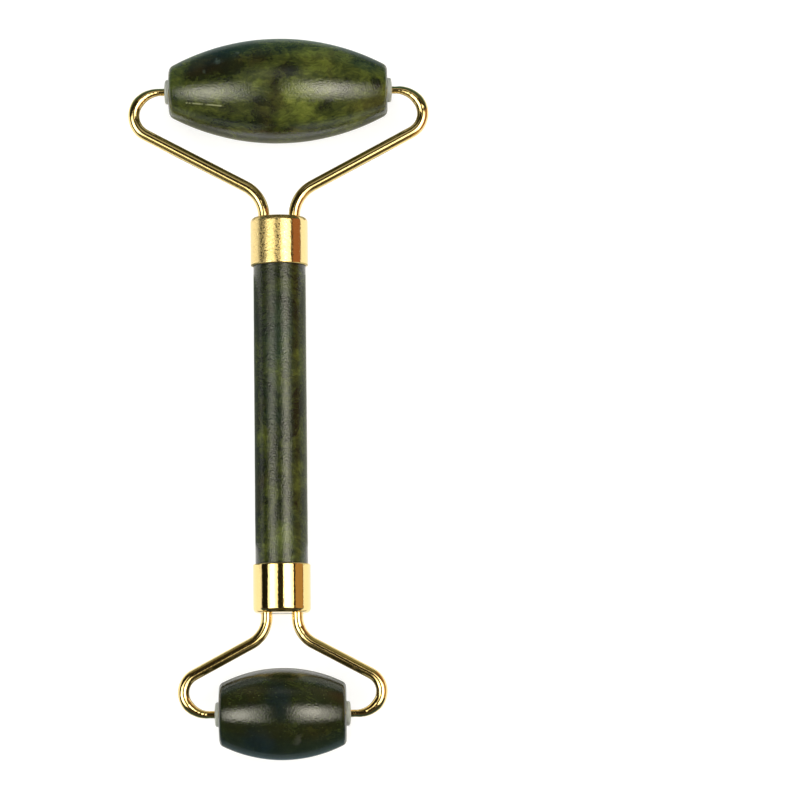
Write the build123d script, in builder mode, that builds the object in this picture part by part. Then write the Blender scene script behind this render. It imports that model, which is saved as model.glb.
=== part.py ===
"""Two-ended jade face roller: a stone handle with a free-turning stone barrel in a wire yoke at each end.

The roller lies flat. +X runs along the barrels' axes, +Y along the handle towards the large barrel and
+Z up. The origin is under the middle of the outline, on the surface that the large barrel rests on.
All sizes are in millimetres.
"""

import os
from math import asin, atan2, cos, degrees, radians, sqrt, tan
from typing import NamedTuple

from build123d import *

# ---- handle -----------------------------------------------------------------------------------------
handle_diameter = 10.5
handle_visible_length = 59.9  # between the two ferrules
handle_end_chamfer = 0.3

# ---- ferrules ---------------------------------------------------------------------------------------
ferrule_length = 9.8
ferrule_wall = 0.45
ferrule_end_wall = 0.8
ferrule_shoulder_radius = 1.0
ferrule_outer_lip_radius = 0.3
ferrule_inner_lip_radius = 0.1
glue_gap = 0.05  # round the handle, inside the ferrule

# ---- yoke wires -------------------------------------------------------------------------------------
wire_diameter = 2.3
leg_spacing = 6.1  # between the centrelines of the two legs
leg_clearance = 0.15  # round the legs, in the slot through the ferrule's end
pin_diameter = 1.5
pin_insertion = 6.6  # beyond the stone's end face
pin_tip_chamfer = 0.2
draw_down_turn = 50.0  # degrees: the last part of the outer bend, where the wire thins to the pin

large_reach = 25.8  # ferrule end to barrel axis
large_leg_stand_out = 0.3  # straight leg outside the ferrule
large_inner_bend_radius = 7.0
large_outer_bend_radius = 4.4
large_axial_play = 0.9  # between each bush and the root of its pin

small_reach = 20.0
small_leg_stand_out = 0.7
small_inner_bend_radius = 6.0
small_outer_bend_radius = 4.0
small_axial_play = 1.3

# ---- resin in the ferrules --------------------------------------------------------------------------
resin_gap = 0.03  # shrinkage all round the resin
resin_under_bend = 0.25  # between the wire's U-bend and the end of the handle

# ---- barrels ----------------------------------------------------------------------------------------
large_stone_length = 44.0
large_stone_diameter = 21.1
large_stone_end_diameter = 9.8  # where crown and end face would meet, before the edge is rounded
large_stone_edge_radius = 1.6

small_stone_length = 25.2
small_stone_diameter = 18.3
small_stone_end_diameter = 12.0
small_stone_edge_radius = 1.25

# ---- bushes -----------------------------------------------------------------------------------------
bush_flange_diameter = 4.9
bush_rim_thickness = 0.75
bush_rim_radius = 0.45  # of the rounded edge between rim and crown
bush_dome_height = 0.2  # of the flange's crown above its rim
bush_sleeve_diameter = 3.9
bush_sleeve_length = 7.0
bush_seat_gap = 0.02  # round the sleeve, in the stone's bore
bush_running_clearance = 0.035  # round the pin

# ---- what follows from them -------------------------------------------------------------------------
axis_height = large_stone_diameter / 2
ferrule_bore_diameter = handle_diameter + 2 * glue_gap
ferrule_diameter = ferrule_bore_diameter + 2 * ferrule_wall
wire_radius = wire_diameter / 2
pin_radius = pin_diameter / 2
leg_x = leg_spacing / 2
slot_height = wire_diameter + 2 * leg_clearance
slot_length = leg_spacing + slot_height
handle_end_depth = ferrule_end_wall + leg_x + wire_radius + resin_under_bend
handle_length = handle_visible_length + 2 * (ferrule_length - handle_end_depth)
stone_bore_diameter = bush_sleeve_diameter + 2 * bush_seat_gap
bush_bore_diameter = pin_diameter + 2 * bush_running_clearance
bush_flange_thickness = bush_rim_thickness + bush_dome_height

# The pin is flush with the outside of the bend, so it lies this much further out than the wire's middle.
pin_step = wire_radius - pin_radius
# Over the last part of the bend, a wider arc brings the thinning wire out by that much.
draw_radius_extra = pin_step / (1 - cos(radians(draw_down_turn)))
pin_root_inset = pin_step / tan(radians(draw_down_turn) / 2)

overall_length = (
    handle_visible_length
    + 2 * ferrule_length
    + large_reach
    + small_reach
    + (large_stone_diameter + small_stone_diameter) / 2
)
large_axis_y = (overall_length - large_stone_diameter) / 2
small_axis_y = (small_stone_diameter - overall_length) / 2


class End(NamedTuple):
    """The sizes of one end of the roller, and the two planes that its pieces are drawn on.

    head stands in the middle of the ferrule's closed end: its x runs along the barrel's axis and its y
    out of the ferrule. axle has its z along the barrel's axis, and stands at the middle of the barrel.
    """

    name: str
    head: Plane
    axle: Plane
    reach: float
    leg_stand_out: float
    inner_bend_radius: float
    outer_bend_radius: float
    axial_play: float
    stone_length: float
    stone_diameter: float
    stone_end_diameter: float
    stone_edge_radius: float


large_end = End(
    name="large",
    head=Plane(origin=(0, large_axis_y - large_reach, axis_height), x_dir=(1, 0, 0), z_dir=(0, 0, 1)),
    axle=Plane(origin=(0, large_axis_y, axis_height), x_dir=(0, 1, 0), z_dir=(1, 0, 0)),
    reach=large_reach,
    leg_stand_out=large_leg_stand_out,
    inner_bend_radius=large_inner_bend_radius,
    outer_bend_radius=large_outer_bend_radius,
    axial_play=large_axial_play,
    stone_length=large_stone_length,
    stone_diameter=large_stone_diameter,
    stone_end_diameter=large_stone_end_diameter,
    stone_edge_radius=large_stone_edge_radius,
)
small_end = End(
    name="small",
    head=Plane(origin=(0, small_axis_y + small_reach, axis_height), x_dir=(-1, 0, 0), z_dir=(0, 0, 1)),
    axle=Plane(origin=(0, small_axis_y, axis_height), x_dir=(0, 1, 0), z_dir=(1, 0, 0)),
    reach=small_reach,
    leg_stand_out=small_leg_stand_out,
    inner_bend_radius=small_inner_bend_radius,
    outer_bend_radius=small_outer_bend_radius,
    axial_play=small_axial_play,
    stone_length=small_stone_length,
    stone_diameter=small_stone_diameter,
    stone_end_diameter=small_stone_end_diameter,
    stone_edge_radius=small_stone_edge_radius,
)


def save(piece, name):
    """Label a finished piece and write its STEP file."""
    piece.part.label = name
    export_step(piece.part, f"parts/{name}.step")
    print(f"{name:26s} {piece.part.volume:9.2f} mm3")


def across(end, depth=0.0):
    """A plane square to the handle, that far inside the ferrule's closed end, with its z out of it."""
    return Plane(
        origin=end.head.origin - end.head.y_dir * depth, x_dir=end.head.x_dir, z_dir=end.head.y_dir
    )


def make_handle():
    """The round rod, ground flat and lightly chamfered at both ends, which the ferrules hide."""
    middle_y = (large_end.head.origin.Y + small_end.head.origin.Y) / 2
    with BuildPart() as handle_stone:
        with BuildSketch(Plane(origin=(0, middle_y, axis_height), z_dir=(0, 1, 0))):
            Circle(handle_diameter / 2)
        extrude(amount=handle_length / 2, both=True)
        ends = handle_stone.edges().group_by(Axis.Y)
        chamfer(ends[0] + ends[-1], handle_end_chamfer)
    save(handle_stone, "handle_stone")


def make_ferrule(end):
    """A deep cup over the end of the handle, with a slot through its closed end for the wire's legs."""
    outwards = Axis(end.head.origin, end.head.y_dir)
    with BuildPart() as ferrule:
        with BuildSketch(across(end)):
            Circle(ferrule_diameter / 2)
        extrude(amount=-ferrule_length)
        fillet(ferrule.edges().group_by(outwards)[-1], ferrule_shoulder_radius)
        with BuildSketch(across(end, ferrule_length)):
            Circle(ferrule_bore_diameter / 2)
        extrude(amount=ferrule_length - ferrule_end_wall, mode=Mode.SUBTRACT)
        fillet(ferrule.edges().group_by(outwards)[0].sort_by(SortBy.LENGTH)[-1], ferrule_outer_lip_radius)
        fillet(ferrule.edges().group_by(outwards)[0].sort_by(SortBy.LENGTH)[0], ferrule_inner_lip_radius)
        with BuildSketch(across(end)):
            SlotOverall(slot_length, slot_height)
        extrude(amount=-ferrule_end_wall, mode=Mode.SUBTRACT)
    save(ferrule, f"{end.name}_ferrule")


def make_resin(end):
    """Cast resin that fills the ferrule round the wire's U-bend, and the slot round its legs."""
    with BuildPart() as resin:
        with BuildSketch(across(end, handle_end_depth - resin_gap)):
            Circle(ferrule_bore_diameter / 2 - resin_gap)
        extrude(amount=handle_end_depth - ferrule_end_wall - 2 * resin_gap)
        with BuildSketch(across(end, ferrule_end_wall + resin_gap)):
            SlotOverall(slot_length - 2 * resin_gap, slot_height - 2 * resin_gap)
        extrude(amount=ferrule_end_wall)
        with BuildLine(end.head) as buried:
            leg = Line((leg_x, end.leg_stand_out), (leg_x, -ferrule_end_wall))
            CenterArc((0, -ferrule_end_wall), leg_x, 0, -180)
            Line((-leg_x, -ferrule_end_wall), (-leg_x, end.leg_stand_out))
        with BuildSketch(Plane(origin=leg @ 0, z_dir=leg % 0)):
            Circle(wire_radius + resin_gap)
        sweep(path=buried.wires()[0], mode=Mode.SUBTRACT)
    save(resin, f"{end.name}_ferrule_potting")


def make_yoke(end):
    """One wire, bent from pin to pin: a U-bend in the ferrule, two sloping arms and two outer bends.

    The arm is the straight line that touches the inner bend's circle on one side and the outer bend's
    on the other. Half a yoke is drawn from the middle of the U-bend outwards, and then mirrored.
    """
    inner_center = Vector(leg_x + end.inner_bend_radius, end.leg_stand_out)
    outer_center = Vector(
        end.stone_length / 2 + bush_flange_thickness + end.axial_play + pin_root_inset,
        end.reach - pin_step - end.outer_bend_radius,
    )
    between = outer_center - inner_center
    both_radii = end.inner_bend_radius + end.outer_bend_radius
    arm_slope = degrees(atan2(between.Y, between.X) - asin(both_radii / between.length))
    arm_length = sqrt(between.length**2 - both_radii**2)

    with BuildPart() as yoke:
        with BuildLine(end.head) as full_wire:
            u_bend = CenterArc((0, -ferrule_end_wall), leg_x, -90, 90)
            leg = Line(u_bend @ 1, (leg_x, end.leg_stand_out))
            inner_bend = JernArc(leg @ 1, leg % 1, end.inner_bend_radius, arm_slope - 90)
            arm = Line(inner_bend @ 1, inner_bend @ 1 + inner_bend % 1 * arm_length)
            outer_turn = 180 - arm_slope - draw_down_turn
            outer_bend = JernArc(arm @ 1, arm % 1, end.outer_bend_radius, outer_turn)
        with BuildSketch(Plane(origin=u_bend @ 0, z_dir=u_bend % 0)):
            Circle(wire_radius)
        sweep(path=full_wire.wires()[0])

        with BuildLine(end.head) as thinning_wire:
            draw_radius = end.outer_bend_radius + draw_radius_extra
            thinning = JernArc(outer_bend @ 1, outer_bend % 1, draw_radius, draw_down_turn)
        with BuildSketch(Plane(origin=thinning @ 0, z_dir=thinning % 0)):
            Circle(wire_radius)
        with BuildSketch(Plane(origin=thinning @ 1, z_dir=thinning % 1)):
            Circle(pin_radius)
        sweep(path=thinning_wire.wires()[0], multisection=True)

        with BuildSketch(Plane(origin=thinning @ 1, z_dir=thinning % 1)):
            Circle(pin_radius)
        pin_root_x = outer_center.X - pin_root_inset
        extrude(amount=pin_root_x - (end.stone_length / 2 - pin_insertion))
        tip = yoke.faces().filter_by(GeomType.PLANE).filter_by(Axis.X).sort_by(SortBy.AREA)[0]
        chamfer(tip.edges(), pin_tip_chamfer)
        mirror(about=Plane.YZ)
    save(yoke, f"{end.name}_yoke_wire")
    span = yoke.part.bounding_box().size.X
    print(f"    arm slope {arm_slope:.2f} degrees, arm {arm_length:.2f} mm, wire span {span:.2f} mm")


def make_stone(end):
    """A barrel turned to a single crown arc, with rounded ends and a bore for its two bushes."""
    half_length = end.stone_length / 2
    end_radius = end.stone_end_diameter / 2
    with BuildPart() as stone:
        profile_plane = Plane(origin=end.axle.origin, x_dir=(1, 0, 0), z_dir=(0, 0, 1))
        with BuildSketch(profile_plane):
            with BuildLine():
                crown = ThreePointArc(
                    (-half_length, end_radius), (0, end.stone_diameter / 2), (half_length, end_radius)
                )
                Polyline(crown @ 1, (half_length, 0), (-half_length, 0), crown @ 0)
            make_face()
        revolve(axis=Axis(end.axle.origin, end.axle.z_dir))
        rims = stone.edges().group_by(Axis.X)
        fillet(rims[0] + rims[-1], end.stone_edge_radius)
        with BuildSketch(end.axle):
            Circle(stone_bore_diameter / 2)
        extrude(amount=half_length, both=True, mode=Mode.SUBTRACT)
    save(stone, f"{end.name}_roller_stone")


def make_bush(end, side, outwards):
    """A flanged sleeve: its flange is domed and seats on the stone's end, and the wire's pin runs in it."""
    seat = Plane(
        origin=end.axle.origin + Vector(outwards * end.stone_length / 2, 0, 0),
        x_dir=(0, 1, 0),
        z_dir=(outwards, 0, 0),
    )
    flange_radius = bush_flange_diameter / 2
    bush_axis = Axis(seat.origin, seat.z_dir)
    with BuildPart() as bush:
        profile_plane = Plane(origin=seat.origin, x_dir=seat.z_dir, z_dir=(0, 0, outwards))
        with BuildSketch(profile_plane):
            with BuildLine():
                rim_edge = (bush_rim_thickness, flange_radius)
                dome = TangentArc((bush_flange_thickness, 0), rim_edge, tangent=(0, 1))
                Polyline(dome @ 1, (0, flange_radius), (0, 0), dome @ 0)
            make_face()
        revolve(axis=bush_axis)
        rim = bush.faces().filter_by(GeomType.CYLINDER).edges().group_by(bush_axis)
        fillet(rim[-1], bush_rim_radius)
        with BuildSketch(seat):
            Circle(bush_sleeve_diameter / 2)
        extrude(amount=-bush_sleeve_length)
        with BuildSketch(seat.offset(bush_flange_thickness)):
            Circle(bush_bore_diameter / 2)
        extrude(amount=-bush_flange_thickness - bush_sleeve_length, mode=Mode.SUBTRACT)
    save(bush, f"{end.name}_roller_bush_{side}")


os.makedirs("parts", exist_ok=True)
make_handle()
for roller_end in (large_end, small_end):
    make_ferrule(roller_end)
    make_resin(roller_end)
    make_yoke(roller_end)
    make_stone(roller_end)
    make_bush(roller_end, "left", -1)
    make_bush(roller_end, "right", 1)
print(f"overall length {overall_length:.2f} mm")
print(f"barrel axes at y {large_axis_y:.3f} and {small_axis_y:.3f} mm")
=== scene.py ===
# %% [markdown]
# # A two-ended jade face roller
#
# The roller is a polished jade rod with a gold-plated cup, or ferrule, glued over each end. A gold-plated
# wire is anchored in each ferrule and bent into a yoke, and a barrel of jade turns freely between its two
# pins: a long barrel for the cheeks and a short one for round the eyes.
#
# The sizes and places were settled in CAD. Blender loads that model as a fixed frame, so that every
# surface made here lies where the real piece does. Then each plain CAD solid is replaced by a finer mesh
# of the same size, which carries the finish: veins, polish, plating and the marks of the tools.

# %% Load the frame
from math import asin, atan2, cos, hypot, pi, radians, sin, sqrt, tan
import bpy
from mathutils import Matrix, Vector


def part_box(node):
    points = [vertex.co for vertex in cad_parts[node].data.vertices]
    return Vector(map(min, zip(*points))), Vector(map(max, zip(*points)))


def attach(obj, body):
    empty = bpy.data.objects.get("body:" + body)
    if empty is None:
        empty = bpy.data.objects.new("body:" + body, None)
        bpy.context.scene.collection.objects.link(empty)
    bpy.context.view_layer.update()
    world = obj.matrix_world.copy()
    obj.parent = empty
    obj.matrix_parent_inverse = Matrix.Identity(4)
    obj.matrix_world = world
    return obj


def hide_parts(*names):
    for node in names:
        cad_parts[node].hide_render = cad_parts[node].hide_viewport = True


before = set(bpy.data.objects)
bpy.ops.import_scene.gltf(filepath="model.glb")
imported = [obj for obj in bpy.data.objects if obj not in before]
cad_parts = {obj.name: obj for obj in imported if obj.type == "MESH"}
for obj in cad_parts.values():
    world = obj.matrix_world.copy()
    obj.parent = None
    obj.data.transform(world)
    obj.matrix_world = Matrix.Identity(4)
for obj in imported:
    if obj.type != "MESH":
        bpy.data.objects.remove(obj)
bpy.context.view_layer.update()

from types import SimpleNamespace

import bpy
import numpy as np
from mathutils import Matrix, Vector

MM = 0.001  # Blender works in metres, and this roller is easier to think of in millimetres

# %% [markdown]
# ## Where each piece is
#
# A CAD piece's box says where it is and how big it is, so there is no need to type a place by hand. The
# two ends of the roller have the same pieces, so one function measures either of them. `out` is +1 at the
# large end and -1 at the small one, and says which way along the handle that end points.


# %% Measure both ends
def box_mm(node):
    """Lowest corner, highest corner and middle of a CAD node, in mm."""
    low, high = (np.array(corner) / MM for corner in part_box(node))
    return low, high, (low + high) / 2


def measure_end(name, out):
    """The sizes, in mm, of one end of the roller that its pieces share."""
    stone_low, stone_high, stone_middle = box_mm(f"{name}_roller_stone")
    ferrule_low, ferrule_high, _ = box_mm(f"{name}_ferrule")
    wire_low, wire_high, _ = box_mm(f"{name}_yoke_wire")
    face_y = ferrule_high[1] if out > 0 else ferrule_low[1]
    return SimpleNamespace(
        name=name,
        out=out,
        axle=stone_middle,
        stone_length=stone_high[0] - stone_low[0],
        stone_diameter=stone_high[2] - stone_low[2],
        face_y=face_y,
        ferrule_length=ferrule_high[1] - ferrule_low[1],
        ferrule_radius=(ferrule_high[0] - ferrule_low[0]) / 2,
        wire_radius=(wire_high[2] - wire_low[2]) / 2,
        reach=abs(stone_middle[1] - face_y),
    )


large_end = measure_end("large", 1)
small_end = measure_end("small", -1)
for end in (large_end, small_end):
    print(end.name, "barrel", np.round(end.axle, 2), "reach", round(end.reach, 2))

# %% [markdown]
# ## Surfaces from grids of points
#
# Every new piece here is a surface that closes round itself, like a tube. It is worked out as a grid:
# one row of the grid is a ring of points, and the rings follow each other along the piece. NumPy works
# out all the points at once, and neighbouring points are joined into four-sided faces. A tube whose last
# ring meets its first, such as a cup with a wall, has no open end. Any other tube gets a flat cap at each
# end, so that every mesh is watertight.
#
# The grid's own two directions are kept as a UV map. A finish that follows the shape, such as the marks
# along a drawn wire, can then be laid out in millimetres along the piece and in turns round it.


# %% Grid to mesh
places_round = {"barrel": 256, "ferrule": 256, "handle": 160, "bush": 96, "wire": 64}  # points in each ring


def angles_round(kind):
    """The directions of the points in a ring, in radians."""
    return np.arange(places_round[kind]) * 2 * pi / places_round[kind]


def quads(grid):
    """One row of four for each cell of a grid: what the grid holds at the cell's corners, in turn."""
    return np.stack([grid[:-1, :-1], grid[1:, :-1], grid[1:, 1:], grid[:-1, 1:]], axis=-1).reshape(-1, 4)


def new_piece(name, points, along, end_to_end=False):
    """A smooth-shaded mesh object from a grid of points in mm, indexed [ring, place round the ring].

    Places close up round each ring. The last ring meets the first one if end_to_end is true, and the
    two end rings are capped with flat faces if it isn't. along gives each ring's distance in mm from the
    start, for the UV map. The signed volume says which way the faces point, and they are turned to
    point outwards.
    """
    rings, places = points.shape[:2]
    corners = points.reshape(-1, 3) * MM
    number = np.arange(rings * places).reshape(rings, places)
    ring_numbers = np.arange(rings + 1 if end_to_end else rings)
    whole = number[ring_numbers % rings][:, np.arange(places + 1) % places]
    faces = quads(whole)
    along = np.append(along, 2 * along[-1] - along[-2])[: len(ring_numbers)]
    turn = np.arange(places + 1) / places
    u = quads(np.broadcast_to(turn, whole.shape))
    v = quads(np.broadcast_to(along[:, None], whole.shape))

    p = [corners[faces[:, i]] for i in range(4)]
    volume = np.sum(p[0] * (np.cross(p[1], p[2]) + np.cross(p[2], p[3])))
    caps = [] if end_to_end else [number[0][::-1], number[-1]]
    if volume < 0:
        faces, u, v, caps = faces[:, ::-1], u[:, ::-1], v[:, ::-1], [cap[::-1] for cap in caps]
    uv = np.zeros((faces.size + places * len(caps), 2), np.float32)
    uv[: faces.size] = np.stack([u.ravel(), v.ravel()], axis=-1)

    mesh = bpy.data.meshes.new(name)
    mesh.from_pydata(corners, [], [*faces.tolist(), *caps])
    mesh.polygons.foreach_set("use_smooth", [True] * len(faces) + [False] * len(caps))
    mesh.uv_layers.new(name="along_the_piece").data.foreach_set("uv", uv.ravel())
    mesh.validate()
    piece = bpy.data.objects.new(name, mesh)
    bpy.context.scene.collection.objects.link(piece)
    print(f"{name}: {len(mesh.polygons)} faces, {abs(volume) / 6 / MM**3:.1f} mm3")
    return piece


def take_over(piece, node, body):
    """The new piece moves with its body, and the CAD node under it is hidden."""
    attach(piece, body)
    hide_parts(node)
    return piece


# %% [markdown]
# ## Profiles for turned pieces
#
# A lathe or a drill makes most of this roller: barrels, bushes and ferrules are all profiles turned about
# an axis. A profile is a list of points, and it is put together from straight runs and arcs. Rounded
# edges get many short steps and flat faces get few, with one step close to each edge, which keeps the
# shading of a flat face flat.


# %% Straight runs and arcs
def line(start, end, steps, snug=0.06):
    """Points on a straight run, in even steps, with one more point snug (mm) to each end."""
    length = hypot(end[0] - start[0], end[1] - start[1])
    near = min(snug / length, 0.2)
    share = np.concatenate([[0, near], np.linspace(near, 1 - near, steps + 1)[1:-1], [1 - near, 1]])
    return np.outer(1 - share, start) + np.outer(share, end)


def arc(centre, radius, start, stop, steps):
    """Points on an arc between two angles in radians, counted from the profile's first direction."""
    angle = np.linspace(start, stop, steps + 1)
    return np.stack([centre[0] + radius * np.cos(angle), centre[1] + radius * np.sin(angle)], axis=-1)


def joined(*runs):
    """The runs one after the other, leaving out the point that a run shares with the one before it."""
    points = np.concatenate(runs)
    step = np.hypot(*np.diff(points, axis=0).T)
    return points[np.append(True, step > 1e-6)]


def distance_along(profile):
    """How far each point of a profile is from its first point, measured along it."""
    return np.append(0, np.cumsum(np.hypot(*np.diff(profile, axis=0).T)))


def turned_about_x(profile, centre, kind, dip=None):
    """Rings of a profile of (x, radius) points, turned about the X axis through centre.

    A point at angle a is centre + (x, r * cos a, r * sin a). dip(x, a) is how far the surface there lies
    inside the true form, in mm.
    """
    angle = angles_round(kind)
    x, radius = profile[:, :1], profile[:, 1:]
    if dip is not None:
        radius = radius - dip(x, angle)
    ring = np.stack([x + 0 * angle, radius * np.cos(angle), radius * np.sin(angle)], axis=-1)
    return ring + centre


def rings_about_y(along, radius, angle, centre):
    """Rings about the Y axis through centre; at angle a, centre x + r * cos a and centre z + r * sin a."""
    x, z = centre[0] + radius * np.cos(angle), centre[2] + radius * np.sin(angle)
    return np.stack([x, along + 0 * angle, z], axis=-1)


def uneven(along, angle, depth, waves):
    """How far a hand-finished surface lies inside its true form, from 0 to about twice depth.

    It is depth * (1 + sum of h * sin(rate * along + lobes * angle + phase) / sum of h), over the waves
    (h, rate, lobes, phase).
    """
    total = sum(h * np.sin(along * rate + lobes * angle + phase) for h, rate, lobes, phase in waves)
    return depth * (1 + total / sum(h for h, *_ in waves))


# %% [markdown]
# ## The barrels
#
# A jade barrel is sawn from the block as a stub, drilled through, and then ground on a wheel while it
# turns, which leaves one long crown curve and two small flat ends with rounded edges. It could be a
# cylinder with a bevel and a lattice, but the real form is one arc, so the profile uses that arc: it is
# the circle through both ends and the middle. The edge's centre lies on a circle one edge radius inside
# the crown's and one edge radius back from the end, which makes the two arcs meet smoothly.
#
# Lapping by hand leaves the surface a hundredth of a millimetre or so off true. That can't be measured by
# eye, but it makes the edge of a reflection wander, and a mathematically perfect stone looks like glass.


# %% Barrels
barrel_shapes = {
    "large": {"end_diameter": 9.8, "edge_radius": 1.6},
    "small": {"end_diameter": 12.0, "edge_radius": 1.25},
}
stone_bore_radius = 1.97
lapping_depth = 0.012
crown_steps, edge_steps = 150, 18


def barrel_profile(end):
    """(x, radius) points of a closed loop: crown, rounded edge, end face and bore, and back."""
    shape = barrel_shapes[end.name]
    half, edge = end.stone_length / 2, shape["edge_radius"]
    top = end.stone_diameter / 2
    rise = top - shape["end_diameter"] / 2
    crown_radius = (half**2 + rise**2) / (2 * rise)
    crown_y = top - crown_radius
    edge_x = half - edge
    edge_y = crown_y + sqrt((crown_radius - edge) ** 2 - edge_x**2)
    tilt = atan2(edge_y - crown_y, edge_x)
    crown = arc((0, crown_y), crown_radius, pi - tilt, tilt, crown_steps)
    right_edge = arc((edge_x, edge_y), edge, tilt, 0, edge_steps)
    right_face = line((half, edge_y), (half, stone_bore_radius), 8)
    bore = line((half, stone_bore_radius), (-half, stone_bore_radius), 20)
    left_face = right_face[::-1] * (-1, 1)
    left_edge = right_edge[::-1] * (-1, 1)
    return joined(crown, right_edge, right_face, bore, left_face, left_edge)[:-1]


def make_barrel(end):
    """The turned profile, less three slow waves that leave the end faces and the bore alone."""
    half, seed = end.stone_length / 2, 1.7 * end.out
    waves = ((1, 0.55, 2, seed), (0.7, 0.9, -3, 2 * seed), (0.5, 0.3, 7, 0))
    profile = barrel_profile(end)
    bore = np.isclose(profile[:, 1], stone_bore_radius)[:, None]

    def dip(x, angle):
        outside = np.clip(1 - (np.abs(x) / half) ** 8, 0, 1)
        return np.where(bore, 0, outside * uneven(x, angle, lapping_depth, waves))

    rings = turned_about_x(profile, end.axle, "barrel", dip)
    piece = new_piece(f"{end.name}_barrel", rings, distance_along(profile), end_to_end=True)
    return take_over(piece, f"{end.name}_roller_stone", f"{end.name}_roller")


large_barrel = make_barrel(large_end)
small_barrel = make_barrel(small_end)

# %% [markdown]
# ## The handle
#
# The handle is a rod cored from the stone and ground round between centres. Only the length between the
# ferrules shows. It is a plain tube of rings along Y, with a chamfer at each hidden end. Like the barrels
# it is a touch uneven, here mostly along its length, because that is how a rod passes over the wheel.


# %% Handle
handle_chamfer = 0.3
grinding_depth = 0.010
grinding_waves = ((1, 0.23, 1, 0), (0.6, 0.61, -2, 0), (0.3, 1.1, 0, 0))
handle_steps = 200


def make_handle():
    """The rod's rings, less slow waves."""
    low, high, middle = box_mm("handle_stone")
    radius = (high[0] - low[0]) / 2
    profile = joined(
        np.array([[low[1], radius - handle_chamfer], [low[1] + handle_chamfer, radius]]),
        line((low[1] + handle_chamfer, radius), (high[1] - handle_chamfer, radius), handle_steps),
        np.array([[high[1] - handle_chamfer, radius], [high[1], radius - handle_chamfer]]),
    )
    angle = angles_round("handle")
    along = profile[:, :1]
    ground = profile[:, 1:] - uneven(along, angle, grinding_depth, grinding_waves)
    rings = rings_about_y(along, ground, angle, middle)
    piece = new_piece("handle", rings, along[:, 0] - low[1])
    return take_over(piece, "handle_stone", "frame")


handle = make_handle()

# %% [markdown]
# ## The ferrules
#
# A ferrule is a small brass cup, drawn from sheet, with a slot punched through its closed end for the
# wire's two legs. The profile starts at the slot's edge, crosses the end face, goes round the shoulder,
# down the wall, over the lip and up the inside, and comes back out through the slot. All of it but the
# slot is round. So each ring is a blend of two outlines, the slot's and a circle's, and the blend passes
# from one to the other across the end face.


# %% Ferrules
ferrule_wall = 0.45
ferrule_end_wall = 0.8
shoulder_radius = 1.0
outer_lip_radius = 0.3
inner_lip_radius = 0.1
slot_edge_radius = 0.12
leg_spacing = 6.1
leg_clearance = 0.15


def slot_reach(angle, half_height, half_straight):
    """Distance from the middle of a round-ended slot to its edge, in each direction.

    Above the slot's straight part it is half_height / |sin|. Beyond that it is the far crossing of the
    ray with the end's circle: c |cos| + sqrt(r^2 - c^2 sin^2), where c is that circle's place.
    """
    across, up = np.abs(np.cos(angle)), np.abs(np.sin(angle))
    straight = half_height / np.maximum(up, 1e-9)
    inside = np.maximum(half_height**2 - (half_straight * up) ** 2, 0)
    rounded = half_straight * across + np.sqrt(inside)
    return np.where(straight * across <= half_straight, straight, rounded)


def make_ferrule(end):
    """Rings from the slot's edge round the wall and back, each between the slot's outline and a circle."""
    radius, length = end.ferrule_radius, end.ferrule_length
    bore = radius - ferrule_wall
    slot_half_height = end.wire_radius + leg_clearance
    shoulder = (radius - shoulder_radius, -shoulder_radius)
    outer_lip = (radius - outer_lip_radius, outer_lip_radius - length)
    inner_lip = (bore + inner_lip_radius, inner_lip_radius - length)
    # (radius, height) with the closed end at height 0; near the slot the first number says how far the
    # ring has come from the slot's edge
    profile = joined(
        arc((slot_half_height + slot_edge_radius, -slot_edge_radius), slot_edge_radius, pi, pi / 2, 5),
        line((slot_half_height + slot_edge_radius, 0), (radius - shoulder_radius, 0), 12),
        arc(shoulder, shoulder_radius, pi / 2, 0, 24),
        line((radius, -shoulder_radius), (radius, outer_lip_radius - length), 24),
        arc(outer_lip, outer_lip_radius, 0, -pi / 2, 10),
        arc(inner_lip, inner_lip_radius, -pi / 2, -pi, 6),
        line((bore, inner_lip_radius - length), (bore, -ferrule_end_wall), 24),
        line((bore, -ferrule_end_wall), (slot_half_height, -ferrule_end_wall), 12),
        line((slot_half_height, -ferrule_end_wall), (slot_half_height, -slot_edge_radius), 4),
    )[:-1]
    angle = angles_round("ferrule")
    r, height = profile[:, :1], profile[:, 1:]
    slot = slot_reach(angle, slot_half_height, leg_spacing / 2)
    # 0 at the slot's edge and 1 from the shoulder outwards, where the rings are plain circles
    share = np.clip((r - slot_half_height) / (radius - shoulder_radius - slot_half_height), 0, 1)
    ring = slot + (r - slot_half_height) * (1 - share) + share * (r - slot)
    ring = np.where(share >= 1, r, ring)
    rings = rings_about_y(end.face_y + end.out * height, ring, angle, end.axle)
    piece = new_piece(f"{end.name}_ferrule_cup", rings, distance_along(profile), end_to_end=True)
    return take_over(piece, f"{end.name}_ferrule", "frame")


large_ferrule = make_ferrule(large_end)
small_ferrule = make_ferrule(small_end)

# %% [markdown]
# ## The yoke wires
#
# Each yoke is one brass wire. It is bent tight inside the ferrule, spread into two arms, and turned back
# at the corners, and there it is drawn down to the thin pin that the barrel turns on. A curve with a
# bevel could give the tube, but its bends would only come near the true ones. So the line is built the
# way a wire bender's card reads: a list of moves, each a length and a turn. Adding up the turns gives the
# heading at every step, and adding up the steps gives the line. A step along an arc is its chord,
# 2 R sin(turn / 2), so the arcs come out exactly round.


# %% The bent line
pin_radius = 0.75
pin_tip_chamfer = 0.2
pin_insertion = 6.6
draw_down_turn = radians(50)
bush_flange_thickness = 0.95
yoke_shapes = {
    "large": {"stand_out": 0.3, "inner_bend": 7.0, "outer_bend": 4.4, "play": 0.9},
    "small": {"stand_out": 0.7, "inner_bend": 6.0, "outer_bend": 4.0, "play": 1.3},
}


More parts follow.
